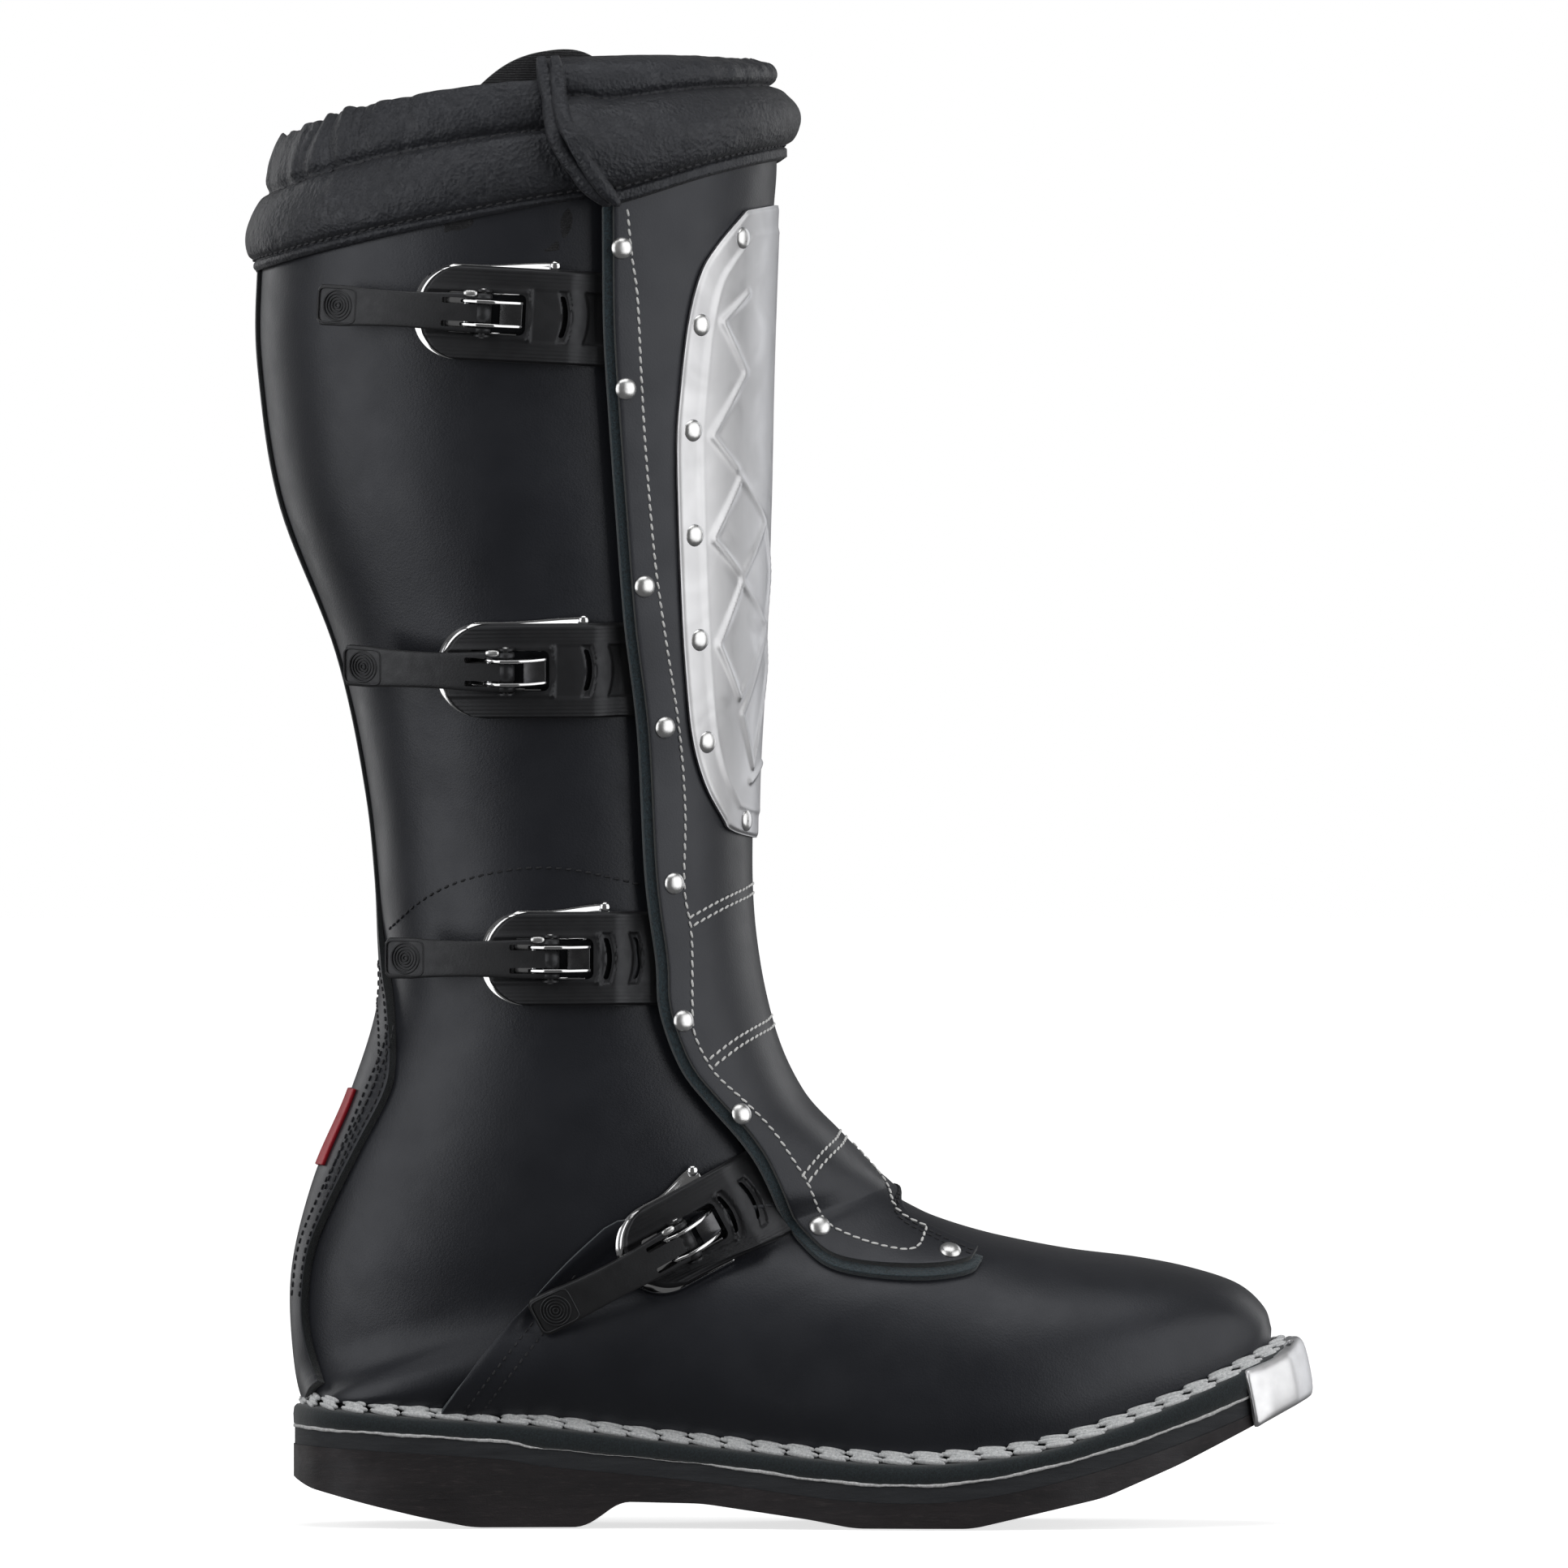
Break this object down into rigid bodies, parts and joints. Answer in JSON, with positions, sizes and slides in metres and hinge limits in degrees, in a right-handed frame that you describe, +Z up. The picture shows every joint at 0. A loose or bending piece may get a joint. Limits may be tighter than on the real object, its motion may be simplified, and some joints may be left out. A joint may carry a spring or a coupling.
{
  "type": "off-road riding boot",
  "caption": "Tall leather off-road motorcycle boot for the right foot, with a steel shin plate on a wrap-over flap, lever buckles, a stitched sole and a steel toe guard.",
  "frame": {"origin": "a point on the flat of the heel's tread, under the middle of the heel, on the surface the boot stands on", "axes": "+X points to the toe, +Z up the shaft, and -Y to the outer side with the buckles"},
  "size_m": [0.3207, 0.14, 0.4469],
  "materials": {
    "leather": "smooth black full-grain leather, semi-matt",
    "soft_leather": "soft grained black leather over foam",
    "suede": "dark blue-black split suede, cut edges showing",
    "fabric": "black woven fabric with a napped face",
    "lining": "thin matt lining leather",
    "board": "pressed fibre board",
    "cork": "cork filler",
    "rubber": "dark brown-black rubber",
    "midsole": "dark grey pressed midsole",
    "plastic": "black moulded plastic, satin",
    "red": "red moulded patch",
    "steel": "brushed stainless steel",
    "chrome": "bright nickel plate"
  },
  "bodies": {
    "boot": {"outsole": "rubber", "midsole": "midsole", "welt": "suede", "sole_filler": "cork", "shank": "steel", "insole_board": "board", "toe_guard": "steel", "quarter": "leather", "vamp": "leather", "lining": "lining", "heel_counter": "board", "toe_puff": "board", "gusset": "fabric", "heel_strip": "leather", "heel_patch": "red", "rear_collar": "soft_leather", "front_collar": "soft_leather", "flap_backing": "suede", "flap": "leather", "shin_plate": "steel", "flap_rivet_1": "steel", "flap_rivet_2": "steel", "flap_rivet_3": "steel", "flap_rivet_4": "steel", "flap_rivet_5": "steel", "flap_rivet_6": "steel", "flap_rivet_7": "steel", "flap_rivet_8": "steel", "flap_rivet_9": "steel", "plate_rivet_1": "steel", "plate_rivet_2": "steel", "plate_rivet_3": "steel", "plate_rivet_4": "steel", "plate_rivet_5": "steel", "plate_rivet_6": "steel", "plate_rivet_7": "steel", "strap_1": "plastic", "base_plate_1": "chrome", "hinge_pin_1": "steel", "strap_2": "plastic", "base_plate_2": "chrome", "hinge_pin_2": "steel", "strap_3": "plastic", "base_plate_3": "chrome", "hinge_pin_3": "steel", "strap_4": "plastic", "base_plate_4": "chrome", "hinge_pin_4": "steel"},
    "buckle_lever_1": {"lever_1": "plastic", "link_pin_1": "steel"},
    "buckle_link_1": {"link_1": "chrome"},
    "buckle_lever_2": {"lever_2": "plastic", "link_pin_2": "steel"},
    "buckle_link_2": {"link_2": "chrome"},
    "buckle_lever_3": {"lever_3": "plastic", "link_pin_3": "steel"},
    "buckle_link_3": {"link_3": "chrome"},
    "buckle_lever_4": {"lever_4": "plastic", "link_pin_4": "steel"},
    "buckle_link_4": {"link_4": "chrome"}
  },
  "joints": [
    {"name": "lever_hinge_1", "type": "hinge", "parent": "boot", "child": "buckle_lever_1", "pos_m": [-0.00041, -0.06742, 0.36825], "axis": [0.0523, -0.0341, 0.998], "range_deg": [0, 120]},
    {"name": "link_hinge_1", "type": "hinge", "parent": "buckle_lever_1", "child": "buckle_link_1", "pos_m": [-0.0054, -0.06718, 0.36852], "axis": [0.0523, -0.0341, 0.998], "range_deg": [-120, 0]},
    {"name": "lever_hinge_2", "type": "hinge", "parent": "boot", "child": "buckle_lever_2", "pos_m": [0.00647, -0.05773, 0.25987], "axis": [0, -0.1426, 0.9898], "range_deg": [0, 120]},
    {"name": "link_hinge_2", "type": "hinge", "parent": "buckle_lever_2", "child": "buckle_link_2", "pos_m": [0.0015, -0.05715, 0.25995], "axis": [0, -0.1426, 0.9898], "range_deg": [-120, 0]},
    {"name": "lever_hinge_3", "type": "hinge", "parent": "boot", "child": "buckle_lever_3", "pos_m": [0.01996, -0.0506, 0.17281], "axis": [0, -0.0234, 0.9997], "range_deg": [0, 120]},
    {"name": "link_hinge_3", "type": "hinge", "parent": "buckle_lever_3", "child": "buckle_link_3", "pos_m": [0.01497, -0.05039, 0.17282], "axis": [0, -0.0234, 0.9997], "range_deg": [-120, 0]},
    {"name": "lever_hinge_4", "type": "hinge", "parent": "boot", "child": "buckle_lever_4", "pos_m": [0.06105, -0.04417, 0.08738], "axis": [-0.4602, -0.1977, 0.8655], "range_deg": [0, 120]},
    {"name": "link_hinge_4", "type": "hinge", "parent": "buckle_lever_4", "child": "buckle_link_4", "pos_m": [0.05677, -0.04499, 0.08492], "axis": [-0.4602, -0.1977, 0.8655], "range_deg": [-120, 0]}
  ],
  "couplings": [
    {"joint": "link_hinge_1", "follows": "lever_hinge_1", "ratio": -1},
    {"joint": "link_hinge_2", "follows": "lever_hinge_2", "ratio": -1},
    {"joint": "link_hinge_3", "follows": "lever_hinge_3", "ratio": -1},
    {"joint": "link_hinge_4", "follows": "lever_hinge_4", "ratio": -1}
  ]
}
